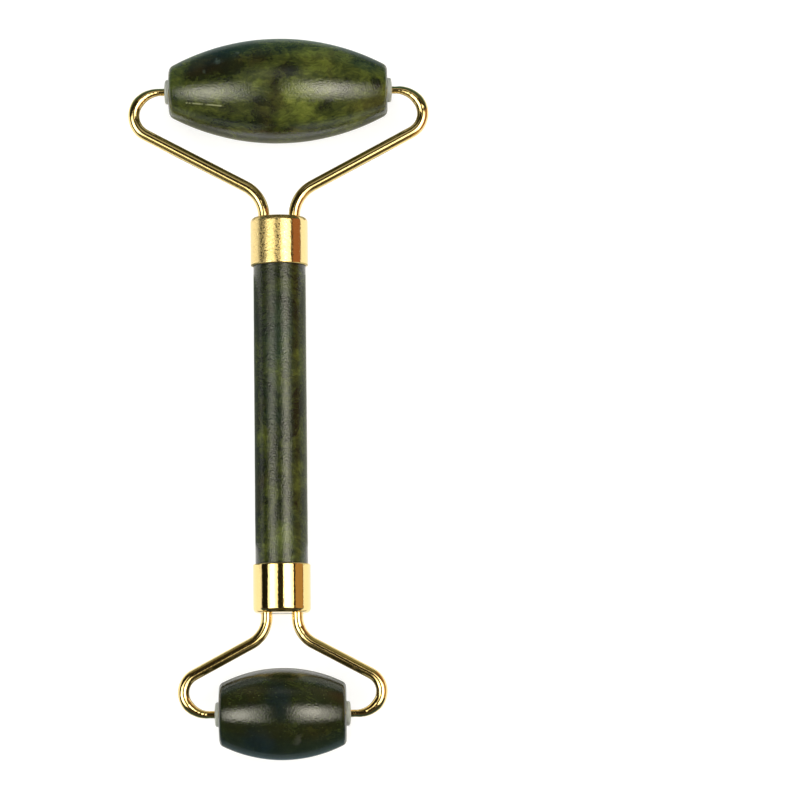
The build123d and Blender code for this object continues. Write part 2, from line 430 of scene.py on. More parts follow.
def wire_moves(end):
    """Half a yoke, from its hidden U-bend's middle to the pin's tip, as (length, turn, is it thinned)."""
    shape = yoke_shapes[end.name]
    step_out = end.wire_radius - pin_radius
    wider = step_out / (1 - cos(draw_down_turn))
    inset = step_out / tan(draw_down_turn / 2)
    leg_x, inner, outer = leg_spacing / 2, shape["inner_bend"], shape["outer_bend"]
    pin_root = end.stone_length / 2 + bush_flange_thickness + shape["play"]
    across = pin_root + inset - leg_x - inner
    up = end.reach - step_out - outer - shape["stand_out"]
    between = hypot(across, up)
    slope = atan2(up, across) - asin((inner + outer) / between)
    arm = sqrt(between**2 - (inner + outer) ** 2)
    last_turn = pi - slope - draw_down_turn
    print(f"{end.name} arm: {arm:.2f} mm long, {slope * 180 / pi:.2f} degrees")
    return (
        (leg_x * pi / 2, pi / 2, False),
        (ferrule_end_wall + shape["stand_out"], 0, False),
        (inner * (pi / 2 - slope), slope - pi / 2, False),
        (arm, 0, False),
        (outer * last_turn, last_turn, False),
        ((outer + wider) * draw_down_turn, draw_down_turn, True),
        (pin_root - end.stone_length / 2 + pin_insertion, 0, False),
    )


def bent_line(moves, spacing=0.16):
    """Place, heading, distance and share of the draw-down at each step along half a yoke, as arrays."""
    length, turn, thinning = [], [], []
    for run, angle, thins in moves:
        steps = max(4, int(run / spacing))
        length += [run / steps] * steps
        turn += [angle / steps] * steps
        thinning += [1 / steps if thins else 0] * steps
    length, turn, drawn = np.array(length), np.array(turn), np.append(0, np.cumsum(thinning))
    heading = np.append(0, np.cumsum(turn))
    chord = length * np.sinc(turn / (2 * pi))
    x = np.append(0, np.cumsum(chord * np.cos(heading[:-1] + turn / 2)))
    y = np.append(0, np.cumsum(chord * np.sin(heading[:-1] + turn / 2)))
    return x, y, heading, np.append(0, np.cumsum(length)), drawn


# %% [markdown]
# The wire is not perfect. The jaws that bend it leave shallow flats and nicks, and the thinned part is
# filed rather than turned, so it is a little lumpy. Those marks are worked into the radius of the rings,
# because they change the outline, which a bump painted on by the material could not.


# %% Yokes
marks_per_bend = 7
mark_spread = 2.2  # mm to each side of a bend's middle
filing_depth, filing_waves = 0.012, 6
drawing_depth = 0.004


def tool_marks(along, angle, drawn, bends, seed):
    """Depth in mm of the marks on the wire, as an array over [distance along, angle round].

    Each mark is a bell-shaped dent, exp(-(distance / width)^2), at a random place near a bend. Filing is
    a sum of short waves, and is there only where the wire is thinned.
    """
    chance = np.random.default_rng(seed)
    depth = np.zeros((len(along), len(angle)))
    for place in bends:
        for _ in range(marks_per_bend):
            where, way = place + chance.normal(0, mark_spread), chance.uniform(0, 2 * pi)
            long, wide = chance.uniform(0.15, 0.7), chance.uniform(0.25, 0.8)
            deep = chance.uniform(0.01, 0.035)
            off_way = np.angle(np.exp(1j * (angle - way)))
            bell = np.exp(-(((along - where) / long) ** 2))[:, None]
            depth += deep * bell * np.exp(-((off_way / wide) ** 2))
    filed = np.clip(drawn * 3, 0, 1)[:, None]
    waves = sum(
        np.sin(along[:, None] * chance.uniform(3, 9) + chance.integers(-4, 5) * angle + chance.uniform(0, 6))
        for _ in range(filing_waves)
    )
    return depth + filed * filing_depth * (1 + waves / 4)


def make_yoke(end, seed):
    """Rings round the bent line: place + r * (cos a * n + sin a * z), n being square to the heading."""

    def whole(half, sign):
        """Both halves of the yoke: the mirror image, walked the other way, and then the half itself."""
        return np.append(sign * half[::-1], half[1:])

    moves = wire_moves(end)
    x, y, heading, along, drawn = bent_line(moves)
    run_ends = np.cumsum([run for run, _, _ in moves])
    leg_start = np.argmin(np.abs(along - run_ends[0]))
    y = y - y[leg_start] - ferrule_end_wall
    radius = end.wire_radius + (pin_radius - end.wire_radius) * drawn
    radius = radius - pin_tip_chamfer * np.clip((along - along[-1] + pin_tip_chamfer) / pin_tip_chamfer, 0, 1)
    x, heading, along = whole(x, -1), whole(heading, -1), whole(along, -1)
    y, radius, drawn = whole(y, 1), whole(radius, 1), whole(drawn, 1)

    shoulder, corner, root = (run_ends[1] + run_ends[2]) / 2, (run_ends[3] + run_ends[5]) / 2, run_ends[5]
    bends = [-root, -corner, -shoulder, shoulder, corner, root]
    angle = angles_round("wire")
    r = radius[:, None] - tool_marks(along, angle, drawn, bends, seed)
    r = r - uneven(along[:, None], angle, drawing_depth, ((1, 0.8, 0, seed),))
    side, out = r * np.cos(angle), end.out
    rings = np.stack(
        [
            end.axle[0] + out * (x[:, None] - side * np.sin(heading)[:, None]),
            end.face_y + out * (y[:, None] + side * np.cos(heading)[:, None]),
            end.axle[2] + r * np.sin(angle),
        ],
        axis=-1,
    )
    piece = new_piece(f"{end.name}_yoke", rings, along - along[0])
    return take_over(piece, f"{end.name}_yoke_wire", "frame")


large_yoke = make_yoke(large_end, 3)
small_yoke = make_yoke(small_end, 8)

# %% [markdown]
# ## The bushes
#
# Each barrel turns on two flanged nylon sleeves, pressed into the ends of its bore. Only the domed
# flange shows, with the pin going through it. It is a closed profile again: bore, dome, rim, seat and
# sleeve. The dome is the arc that leaves the axis square and meets the rim.


# %% Bushes
flange_radius = 2.45
rim_thickness = 0.75
sleeve_radius = 1.95
sleeve_length = 7.0
bush_bore_radius = 0.785
rim_edge_radius = 0.45


def make_bush(end, side, outwards):
    """A bush whose flange seats on the stone's end; profile of (height above the seat, radius)."""
    dome_height = bush_flange_thickness - rim_thickness
    dome_radius = (flange_radius**2 + dome_height**2) / (2 * dome_height)
    dome_x = bush_flange_thickness - dome_radius
    mouth_x = dome_x + sqrt(dome_radius**2 - bush_bore_radius**2)
    rim_centre_r = flange_radius - rim_edge_radius
    rim_centre_x = dome_x + sqrt((dome_radius - rim_edge_radius) ** 2 - rim_centre_r**2)
    meet = atan2(rim_centre_r, rim_centre_x - dome_x)
    profile = joined(
        line((-sleeve_length, bush_bore_radius), (mouth_x, bush_bore_radius), 12),
        arc((dome_x, 0), dome_radius, asin(bush_bore_radius / dome_radius), meet, 16),
        arc((rim_centre_x, rim_centre_r), rim_edge_radius, meet, pi / 2, 10),
        line((rim_centre_x, flange_radius), (0, flange_radius), 4, snug=0.02),
        line((0, flange_radius), (0, sleeve_radius), 4),
        line((0, sleeve_radius), (-sleeve_length, sleeve_radius), 10),
        line((-sleeve_length, sleeve_radius), (-sleeve_length, bush_bore_radius), 4),
    )[:-1]
    seat = end.axle + np.array([outwards * end.stone_length / 2, 0, 0])
    rings = turned_about_x(profile * (outwards, 1), seat, "bush")
    piece = new_piece(f"{end.name}_bush_{side}", rings, distance_along(profile), end_to_end=True)
    return take_over(piece, f"{end.name}_roller_bush_{side}", f"{end.name}_roller")


bushes = [
    make_bush(end, side, outwards)
    for end in (large_end, small_end)
    for side, outwards in (("left", -1), ("right", 1))
]

# %% [markdown]
# ## A short hand for materials
#
# A finish is a small network of nodes. Written out one by one, nodes hide what the finish is made of, so
# this helper gives each kind of node a one-word method that returns its output. `place` is the point on
# the piece in millimetres from the piece's middle. It comes from the Object coordinates, so the pattern
# is fixed in the stone and turns with the barrel.


# %% Node helper
def paint(red, green, blue):
    """A colour given on a 0-255 scale, as the linear light values that shaders work in."""
    return tuple((value / 255 / 12.92 if value < 10.3 else ((value / 255 + 0.055) / 1.055) ** 2.4)
                 for value in (red, green, blue)) + (1.0,)


class Finish:
    """A material being built: each method adds a node and gives back its output."""

    def __init__(self, name):
        self.material = bpy.data.materials.new(name)
        self.material.use_nodes = True
        self.tree = self.material.node_tree
        self.shader = self.tree.nodes["Principled BSDF"]

    def feed(self, socket, value):
        """Links an output to a socket, or sets the socket's own value."""
        if isinstance(value, bpy.types.NodeSocket):
            self.tree.links.new(value, socket)
        else:
            socket.default_value = value

    def node(self, kind, inputs, output=0, **settings):
        made = self.tree.nodes.new(f"ShaderNode{kind}")
        for name, value in settings.items():
            setattr(made, name, value)
        for name, value in inputs.items():
            self.feed(made.inputs[name], value)
        return made.outputs[output]

    def place(self, centre):
        """Object coordinates in mm, counted from centre (mm)."""
        coordinates = self.node("TexCoord", {}, "Object")
        shift = tuple(-float(c) for c in centre)
        return self.node("Mapping", {"Vector": coordinates, "Location": shift, "Scale": (1 / MM,) * 3})

    def vector(self, operation, a, b):
        return self.node("VectorMath", {0: a, 1: b}, operation=operation)

    def length(self, vector):
        return self.node("VectorMath", {0: vector}, "Value", operation="LENGTH")

    def split(self, vector):
        """The three parts of a vector, as outputs."""
        made = self.tree.nodes.new("ShaderNodeSeparateXYZ")
        self.feed(made.inputs[0], vector)
        return made.outputs

    def chain(self, operation, value, *others):
        """The operation on value and the first of the others, then on the result and the next."""
        for other in others:
            value = self.node("Math", {0: value, 1: other}, operation=operation)
        return value

    def plus(self, *values):
        return self.chain("ADD", *values)

    def minus(self, *values):
        """The first value less all the others."""
        return self.chain("SUBTRACT", *values)

    def times(self, *values):
        return self.chain("MULTIPLY", *values)

    def size(self, value):
        """The value without its sign."""
        return self.node("Math", {0: value}, operation="ABSOLUTE")

    def noise(self, at, scale, detail=4.0, roughness=0.55, distortion=0.0, output="Fac"):
        inputs = {"Vector": at, "Scale": scale, "Detail": detail}
        inputs |= {"Roughness": roughness, "Distortion": distortion}
        return self.node("TexNoise", inputs, output)

    def between(self, value, low, high, to_low=0.0, to_high=1.0):
        """Maps low..high to to_low..to_high with soft ends."""
        inputs = {"Value": value, "From Min": low, "From Max": high, "To Min": to_low, "To Max": to_high}
        return self.node("MapRange", inputs, interpolation_type="SMOOTHSTEP")

    def ramp(self, value, stops):
        """Colours along a value: stops are (position, colour)."""
        made = self.tree.nodes.new("ShaderNodeValToRGB")
        band = made.color_ramp
        while len(band.elements) < len(stops):
            band.elements.new(0.5)
        for element, (position, colour) in zip(band.elements, stops):
            element.position, element.color = position, colour
        self.feed(made.inputs[0], value)
        return made.outputs[0]

    def mix(self, share, first, second):
        """The first colour at share 0, the second at share 1; sockets 6 and 7 are the node's colours."""
        return self.node("Mix", {0: share, 6: first, 7: second}, 2, data_type="RGBA")

    def bump(self, height, depth):
        """Bump whose height input of 0..1 means 0..depth mm."""
        return self.node("Bump", {"Height": height, "Distance": depth * MM})

    def surface(self, **inputs):
        for name, value in inputs.items():
            self.feed(self.shader.inputs[name.replace("_", " ")], value)


def dress(finish, *pieces):
    """Puts a finish on pieces, in place of whatever they had."""
    for piece in pieces:
        piece.data.materials.clear()
        piece.data.materials.append(finish.material)
    print(f"{finish.material.name}: {len(finish.tree.nodes)} nodes, on {len(pieces)} of the pieces")


# %% [markdown]
# ## Jade
#
# This jade is a dark nephrite or serpentine. Seen close, it is not one green: cloudy patches of olive and
# yellow-green lie in a nearly black ground, there are smoky veins, a few bluish or brown stains and a
# peppering of light grains. Three things make it look like stone rather than paint. The pattern is solid,
# so it runs right through the piece and meets itself at every edge. It has detail at every size from a
# centimetre to a tenth of a millimetre. And light goes a little way in before it comes back, which is
# subsurface scattering.
#
# The larger clouds are placed as soft balls at points in the stone. Everything else is layered
# noise. All of it is bent by the same slow drift, so that no cloud keeps the outline of the ball that
# made it.


# %% Clouds, stains and marks
def wander(stone, at, scale, detail, reach):
    """A random shift that changes slowly from place to place, up to about reach / 2 mm each way."""
    shift = stone.vector("SUBTRACT", stone.noise(at, scale, detail, output="Color"), (0.5, 0.5, 0.5))
    return stone.vector("MULTIPLY", shift, (reach,) * 3)


def cloud(stone, at, centre, radius):
    """A soft ball or egg in the stone: 1 in its middle and 0 outside, as an output."""
    radius = radius if isinstance(radius, tuple) else (radius,) * 3
    off = stone.vector("DIVIDE", stone.vector("SUBTRACT", at, centre), radius)
    return stone.between(stone.length(off), 1.15, 0.25)


def stained(stone, green, at, mottle, stains):
    """green with coloured clouds in it, ragged where the stone is mottled."""
    for middle, radius, colour, strength in stains:
        ragged = stone.between(mottle, 0.36, 0.58, 0.4, 1.0)
        share = stone.times(cloud(stone, at, middle, radius), strength, ragged)
        green = stone.mix(share, green, colour)
    return green


def scuff_mark(stone, place, mottle, ends):
    """1 on a broken line 0.1 mm wide between two points on the upper side, and 0 elsewhere."""
    x0, y0, x1, y1 = ends
    slope = (y1 - y0) / (x1 - x0)
    x, y, z = stone.split(place)
    off = stone.minus(y, stone.plus(stone.times(x, slope), y0 - slope * x0))
    mark = stone.between(stone.size(off), 0.20, 0.05)
    for value, low, high in ((x, x0, x0 + 0.6), (x, x1, x1 - 0.6), (z, 0, 1), (mottle, 0.33, 0.48)):
        mark = stone.times(mark, stone.between(value, low, high))
    return mark


def lip_shade_lines(stone, place, fibre, lips):
    """1 in a ragged line of painted shade at each ferrule's lip, where it meets the rod, and 0 on the bare
    length between them.
    """
    y = stone.plus(stone.split(place)[1], stone.times(stone.minus(fibre, 0.5), 0.8))
    return stone.plus(stone.between(y, lips[1] - 0.35, lips[1]), stone.between(y, lips[0] + 0.35, lips[0]))


# %% Jade
greens = [
    (0.10, paint(8, 13, 9)),
    (0.30, paint(28, 34, 15)),
    (0.50, paint(56, 63, 25)),
    (0.70, paint(86, 94, 37)),
    (0.90, paint(116, 122, 58)),
]
bluish, brownish, vein_dark = paint(28, 50, 40), paint(58, 51, 22), paint(22, 28, 16)
speck_light, pepper_dark = paint(118, 126, 78), paint(16, 22, 12)
scuff_colour, lip_shade_colour = paint(142, 145, 104), paint(9, 10, 6)
grain_depth = 0.020  # mm, at a grain of 1


def make_jade(
    name, centre, tone, mottled, grain, clouds, stains,
    roughness=0.13, shine=0.5, dulled=(), scuff=None, lips=None,
):
    """The stone's finish; places are in mm from centre.

    tone is the middle green, from 0 to 1 on the ramp, and mottled says how much it varies. clouds are
    (centre, radius, change of tone), stains (centre, radius, colour, strength) and dulled (centre, radius,
    roughness to add). grain is the depth of the polish's texture. scuff is (x0, y0, x1, y1), a dull line
    on the upper side, and lips are the y of the two lines of painted shade where the ferrules' lips meet the
    rod.
    """
    stone = Finish(name)
    place = stone.place(centre)
    slow = stone.vector("ADD", place, wander(stone, place, 0.16, 3, 5.0))
    bent = stone.vector("ADD", slow, wander(stone, place, 0.8, 4, 1.5))

    broad = stone.noise(bent, 0.10, 4, 0.5)
    mottle = stone.noise(bent, 0.38, 5, 0.55)
    fibre = stone.noise(stone.vector("MULTIPLY", slow, (0.8, 2.2, 1.6)), 0.8, 6, 0.66)
    value = tone
    for layer, weight in ((broad, 0.55), (mottle, 0.45), (fibre, 0.60)):
        value = stone.plus(value, stone.times(stone.minus(layer, 0.5), weight * mottled))
    for middle, radius, change in clouds:
        value = stone.plus(value, stone.times(cloud(stone, bent, middle, radius), change))
    green = stone.ramp(value, greens)

    hue = stone.noise(bent, 0.13, 4, 0.5)
    green = stone.mix(stone.between(hue, 0.55, 0.75, 0, 0.28), green, bluish)
    green = stone.mix(stone.between(hue, 0.45, 0.28, 0, 0.30 * mottled), green, brownish)
    green = stained(stone, green, bent, mottle, stains)
    ridge = stone.size(stone.minus(stone.noise(bent, 0.22, 6, 0.6, 0.6), 0.5))
    vein = stone.times(stone.between(ridge, 0.018, 0.0), stone.between(broad, 0.60, 0.42, 0.1, 0.55))
    green = stone.mix(vein, green, vein_dark)
    green = stone.mix(stone.between(stone.noise(place, 4.6, 2, 0.5), 0.69, 0.78, 0, 0.55), green, speck_light)
    green = stone.mix(stone.between(stone.noise(place, 2.9, 3, 0.6), 0.37, 0.28, 0, 0.40), green, pepper_dark)

    lapping = stone.noise(place, 2.9, 1, 0.6)
    scratched = stone.noise(stone.vector("MULTIPLY", place, (0.5, 6.0, 6.0)), 1.0, 3, 0.6)
    dull = stone.between(lapping, 0.3, 0.7, roughness * 0.8, roughness * 1.3)
    for middle, radius, added in dulled:
        dull = stone.plus(dull, stone.times(cloud(stone, slow, middle, radius), added))
    if scuff is not None:
        mark = scuff_mark(stone, place, mottle, scuff)
        green = stone.mix(stone.times(mark, 0.65), green, scuff_colour)
        dull = stone.plus(dull, stone.times(mark, 0.4))
    # Painted shade: a dark ragged line in the corner where each ferrule's lip meets the rod.
    if lips is not None:
        green = stone.mix(lip_shade_lines(stone, place, fibre, lips), green, lip_shade_colour)
    stone.surface(
        Base_Color=green,
        Roughness=dull,
        IOR=1.6,
        Specular_IOR_Level=shine,
        Subsurface_Weight=0.25,
        Subsurface_Radius=(0.9, 1.0, 0.45),
        Subsurface_Scale=1.2 * MM,
        Normal=stone.bump(stone.plus(lapping, stone.times(scratched, 0.35)), grain_depth * grain),
    )
    return stone


# %% [markdown]
# ## The three stones
#
# Each stone gets its own clouds. A cloud is given by its middle, its radius, or three radii for an egg, and
# how much lighter or darker it makes the stone. Those on the upper side, where z is positive, are the ones
# that show from above. The rest are there so that the stone isn't plain when the barrel turns. A few darker
# clouds on the large barrel and the handle are painted shade, and one stain on the large barrel is a painted
# reflection; each says so where it is listed.

# %% The three stones
large_jade = make_jade(
    "jade_of_the_large_barrel",
    large_end.axle,
    tone=0.46,
    clouds=(
        ((-5.4, 6.5, 7.5), 3.0, 0.08), ((10.5, 5.6, 8), (8, 5, 6), 0.20),
        ((3.6, -4.4, 9), (4.2, 5.5, 6), 0.24), ((-3.4, 1.8, 10), 2.6, 0.12), ((1.6, -1.2, 10), 2.4, 0.10),
        ((14.5, -5.2, 6), 4.0, 0.06), ((0, 0, -9), 7.0, 0.16), ((-12, 3, -7), 6.0, 0.14),
        ((2.1, 2.9, 10), 2.4, -0.34), ((3.6, 6.8, 8), (1.8, 4, 5), -0.18),
        ((-0.6, 0.6, 10), (1.6, 3.2, 5), -0.14), ((-3.8, -5.0, 9), (1.6, 4.0, 5), -0.20),
        ((9.2, -4.2, 8), 2.2, -0.20), ((-14.5, 4.4, 7), (8, 3.6, 5), -0.20), ((19.8, 0.2, 6), 1.7, -0.32),
        ((-9.0, -5.6, 7), (5, 3, 4), -0.06), ((8, 4, -8), 4.0, -0.24),
        # Painted shade from here to the end of the list: four darker clouds dim the stone just above the
        # highlights, and two long thin bands darken its far and near rims.
        ((-2.8, 4.6, 9.5), (3.4, 4.2, 6), -0.13), ((-17.5, 2.4, 6), (4.4, 3.0, 5), -0.12),
        ((-10.5, 3.4, 9), (6.0, 3.4, 6), -0.12),
        ((17.8, 4.8, 6), (4.4, 4.4, 5), -0.16), ((-12, 7.5, 6), (10, 2.6, 6), -0.14),
        ((0, -8.5, 5), (20, 2.6, 5), -0.10),
    ),
    stains=(
        ((-14.5, 4.4, 7), (6, 3, 5), paint(48, 38, 20), 0.40),
        # Painted reflection: the next stain is a dark teal band along the far rim, where the polished stone
        # mirrors what lies beyond the barrel.
        ((-9, 8, 6), (13, 2.6, 6), paint(14, 32, 30), 0.55),
        ((-8.4, 6.9, 8), 1.5, paint(112, 122, 116), 0.75),
        ((-11.2, 4.7, 8), 1.2, paint(84, 104, 98), 0.60),
        ((-14.4, 2.6, 7), 1.0, paint(84, 100, 94), 0.45),
        ((16.5, -5.0, 6), (5, 3, 4), paint(58, 54, 24), 0.25),
    ),
    mottled=1.2,
    grain=2.1,
    scuff=(-18.6, -3.2, -10.4, -4.4),
)
small_jade = make_jade(
    "jade_of_the_small_barrel",
    small_end.axle,
    tone=0.27,
    clouds=(
        ((5.3, 4.9, 7), 4.5, 0.03), ((-9.0, 3.3, 7), 3.0, 0.04), ((2.6, -3.5, 8), (4, 3, 4), 0.05),
        ((0, 2, -8), 6.0, 0.10), ((-1.2, 2.6, 8.5), (2.6, 5, 5), -0.05),
        ((-4.1, -5.3, 6.5), (3, 4, 5), -0.04),
    ),
    stains=(
        ((-1.2, 2.4, 8.5), (3.4, 5, 5), paint(18, 30, 34), 0.65),
        ((-5.0, -6.0, 6.0), (4.0, 4, 5), paint(16, 32, 42), 0.6),
        ((3.1, -4.8, 7.4), (0.8, 1.7, 2), paint(84, 82, 82), 0.26),
        ((7.0, -3.5, 8), (5, 3, 4), paint(42, 36, 14), 0.35),
    ),
    mottled=0.55,
    grain=1.8,
    roughness=0.10,
)
rod_middle = box_mm("handle_stone")[2]
handle_jade = make_jade(
    "jade_of_the_handle",
    rod_middle,
    tone=0.355,
    clouds=(
        ((-1, 25, 4), (4, 3, 4), 0.06), ((3.5, 12, 3), (3, 5, 4), 0.04), ((-2.5, -5, 4), (3, 3, 4), 0.12),
        ((1.5, 4, 4.5), (3, 5, 4), 0.10), ((-1.8, -15, 5), (2, 3, 3), 0.14), ((3.5, -12, 3), (3, 4, 4), 0.05),
        ((-2.4, -18, 4), (3, 4, 4), 0.10), ((0.4, -25, 5), (3, 5, 4), 0.18),
        ((-3.4, -27, 3), (3, 4, 3), 0.10),
        ((0, 16, 5), (3, 6, 4), -0.08), ((-1, -2, 5), (3, 4, 4), -0.08), ((0, -20, 5), (1.5, 5, 4), -0.08),
        # Painted shade: the clouds on this line and the next are long dark streaks along the rod, on its
        # upper left, in the dip between the two highlights, to the right of the main one and low on its left
        # side.
        ((-3, 16, 4), (2.8, 16, 4), -0.11), ((-0.8, 4, 5), (1.3, 30, 4), -0.05),
        ((2.5, 2, 4.5), (1.5, 28, 4), -0.10), ((-4.9, -14, 2.5), (1.5, 12, 3), -0.10),
    ),
    stains=(
        ((0, 17, 5), (4, 9, 5), paint(26, 48, 36), 0.5),
        ((-1, 2, 5), (4, 8, 5), paint(24, 42, 34), 0.4),
    ),
    mottled=1.2,
    grain=2.9,
    roughness=0.11,
    shine=0.34,
    lips=[end.face_y - end.out * end.ferrule_length - rod_middle[1] for end in (small_end, large_end)],
    dulled=(((-2.6, 20, 4.5), (2.2, 22, 4), 0.13),),
)
dress(large_jade, large_barrel)
dress(small_jade, small_barrel)
dress(handle_jade, handle)

# %% [markdown]
# ## Gold plating
#
# The brass is polished, then plated with a few thousandths of a millimetre of gold. The plating is as
# smooth as a mirror in the small, but it shows the waviness of the polished sheet beneath, which is
# called orange peel. So a fine bump makes the reflections' edges ragged. Where handling has rubbed the
# plating it turns satin in patches, and on the large ferrule only the right side has stayed crisp.


# %% Gold
def make_gold(name, centre, peel, roughness, matt, crisp_side=None):
    """Gold on polished brass, from a mirror (roughness) to a rubbed satin (matt) in patches.

    crisp_side is the x, in mm from centre, beyond which nothing has rubbed it.
    """
    gold = Finish(name)
    place = gold.place(centre)
    waviness = gold.plus(gold.noise(place, 2.0, 1, 0.7), gold.times(gold.noise(place, 0.5, 2, 0.5), 0.5))
    worn = gold.noise(place, 3.6, 4, 0.65)
    colour = gold.mix(gold.between(worn, 0.35, 0.75, 0, 0.5), (0.86, 0.668, 0.30, 1), (0.80, 0.59, 0.23, 1))
    rubbed = gold.between(worn, 0.36, 0.56)
    if crisp_side is not None:
        x = gold.split(place)[0]
        rubbed = gold.times(rubbed, gold.between(x, crisp_side + 0.6, crisp_side - 0.6))
    gold.surface(
        Base_Color=colour,
        Metallic=1.0,
        Roughness=gold.between(rubbed, 0, 1, roughness, matt),
        Normal=gold.bump(waviness, peel),
    )
    return gold


large_gold = make_gold(
    "gold_of_the_large_ferrule", large_end.axle, peel=0.022, roughness=0.13, matt=0.38, crisp_side=1.9
)
small_gold = make_gold("gold_of_the_small_ferrule", small_end.axle, peel=0.010, roughness=0.04, matt=0.09)
wire_gold = make_gold("gold_of_the_wires", (0, 0, 0), peel=0.007, roughness=0.05, matt=0.12)
dress(large_gold, large_ferrule)
dress(small_gold, small_ferrule)
dress(wire_gold, large_yoke, small_yoke)

# %% [markdown]
# ## Nylon and resin
#
# The bushes are natural nylon, which is milky: light goes in and scatters, so they take a little green
# from the stone behind them. The resin that holds the wire in the ferrule shows only as a bead in the
# slot. It is clear amber, and it keeps the CAD solid's own shape.


# %% Nylon and resin
nylon = Finish("natural_nylon")
place = nylon.place((0, 0, 0))
milk = nylon.noise(place, 1.3, 3, 0.5)
nylon.surface(
    Base_Color=nylon.mix(milk, paint(180, 183, 177), paint(160, 165, 158)),
    Roughness=nylon.between(nylon.noise(place, 3.0, 2), 0.3, 0.7, 0.28, 0.42),
    IOR=1.53,
    Transmission_Weight=0.15,
    Subsurface_Weight=0.6,
    Subsurface_Radius=(1.0, 1.0, 1.0),
    Subsurface_Scale=1.0 * MM,
    Normal=nylon.bump(nylon.noise(place, 2.0, 3), 0.01),
)
dress(nylon, *bushes)

resin = Finish("cast_resin")
place = resin.place((0, 0, 0))
cloudy = resin.noise(place, 0.8, 3, 0.5)
resin.surface(
    Base_Color=resin.mix(cloudy, paint(58, 42, 18), paint(104, 82, 44)),
    Roughness=resin.between(cloudy, 0.3, 0.7, 0.12, 0.3),
    IOR=1.5,
    Normal=resin.bump(resin.noise(place, 1.2, 2), 0.05),
)
dress(resin, *(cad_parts[f"{end.name}_ferrule_potting"] for end in (large_end, small_end)))

# %% [markdown]
# ## The studio
#
# Polished stone and gold show mostly what is round them, so the light is set as in a jeweller's studio: a
# light table below, and a large soft box on each side of the camera with a dark gap between them. The gold
# needs that gap to look like metal. The table glows a little of its own, as a light table does, so that it
# stays white right up to the stone. It touches both barrels, so it is tipped by the difference between
# them.


# %% Table
def studio_panel(name, points, faces, material):
    """Part of the studio: seen, or only reflected, but no part of the roller."""
    mesh = bpy.data.meshes.new(name)
    mesh.from_pydata([tuple(point) for point in points], [], faces)
    mesh.materials.append(material)
    panel = bpy.data.objects.new(name, mesh)
    bpy.context.scene.collection.objects.link(panel)
    return panel


def flat_panel(name, corners, material):
    """A panel with one face between its four corners."""
    return studio_panel(name, corners, [(0, 1, 2, 3)], material)


def rectangle(x0, x1, y0, y1):
    """Corners as (x, y), in metres, anticlockwise from the near left one."""
    return [(x0, y0), (x1, y0), (x1, y1), (x0, y1)]


rise = (large_end.stone_diameter - small_end.stone_diameter) / 2
lean = asin(rise / (large_end.axle[1] - small_end.axle[1]))
contact_y = large_end.axle[1] * MM
table_reach, table_gap = 1.6, 0.02 * MM


def on_table(corners, lift):
    """The corners, lift metres above the tipped table."""
    return [(x, y, lift - (y - contact_y) * tan(lean)) for x, y in corners]


paper = Finish("light_table")
paper.surface(
    Base_Color=(0.35, 0.35, 0.35, 1),
    Roughness=0.9,
    Emission_Color=(1.0, 1.0, 1.0, 1),
    Emission_Strength=0.74,
    Specular_IOR_Level=0.0,
)
outline = rectangle(-table_reach, table_reach, -table_reach, table_reach)
flat_panel("table", on_table(outline, -table_gap), paper.material)
print(f"table: tipped {lean * 180 / pi:.2f} degrees")

# %% [markdown]
# ## Soft boxes
#
# A real soft box isn't evenly lit. The cloth is dim at its rim, paler inside, and brightest in front of the
# lamp. An even panel would give a highlight that looks like a sticker. So the glow here is a sum: a patch
# with narrow soft edges, a patch with wide ones, and a hot spot. Each box hangs tipped towards the roller,
# so from the roller it looks like a kite. The panel is that kite, divided into a grid, and the UV map runs
# from 0 to 1 along its sides. That lets the glow follow the kite's own edges.


# %% Soft boxes
def kite(name, corners, height, material, steps=16):
    """A panel between four corners, from the near left one round to the far left one.

    With u and v from 0 to 1, a point is (1-u)(1-v) A + u(1-v) B + uv C + (1-u)v D.
    """
    v, u = (share.ravel()[:, None] for share in np.mgrid[0:1:steps * 1j, 0:1:steps * 1j])
    a, b, c, d = (np.array([*corner, height]) for corner in corners)
    points = (1 - u) * (1 - v) * a + u * (1 - v) * b + u * v * c + (1 - u) * v * d
    faces = quads(np.arange(steps * steps).reshape(steps, steps).T)
    panel = studio_panel(name, points.tolist(), faces.tolist(), material)
    cloth = np.hstack([u, v])[faces.ravel()]
    panel.data.uv_layers.new(name="cloth").data.foreach_set("uv", cloth.astype(np.float32).ravel())
    return panel


def glow(name, colour, strength):
    """A material that only shines. strength(shine) may work it out from the place."""
    shine = Finish(name)
    shine.tree.nodes.remove(shine.shader)
    strength = strength(shine) if callable(strength) else strength
    emission = shine.node("Emission", {"Color": (*colour, 1), "Strength": strength})
    shine.tree.links.new(emission, shine.tree.nodes["Material Output"].inputs["Surface"])
    return shine.material


def patch(shine, place, x_steps, y_steps, radiance):
    """radiance inside a soft-edged rectangle and 0 outside: the product of four soft steps.

    The steps are where the light starts, where it is full, where it stops being full and where it ends.
    """
    value = radiance
    for along, (start, full, fades, end) in zip(shine.split(place), (x_steps, y_steps)):
        value = shine.times(value, shine.between(along, start, full), shine.between(along, end, fades))
    return value


def cloth_light(lamp, reach, peak):
    """Light over the cloth, with a hot spot at lamp that fades out at reach; both are shares of the sides."""

    def strength(shine):
        cloth = shine.node("TexCoord", {}, "UV")
        off = shine.vector("DIVIDE", shine.vector("SUBTRACT", cloth, (*lamp, 0)), (*reach, 1))
        spot = shine.between(shine.length(off), 1, 0, 0, peak)
        rim, inner = (0.0, 0.05, 0.95, 1.0), (0.0, 0.30, 0.70, 1.0)
        even = shine.plus(patch(shine, cloth, rim, rim, 1.7), patch(shine, cloth, inner, inner, 1.3))
        return shine.plus(spot, even)

    return strength


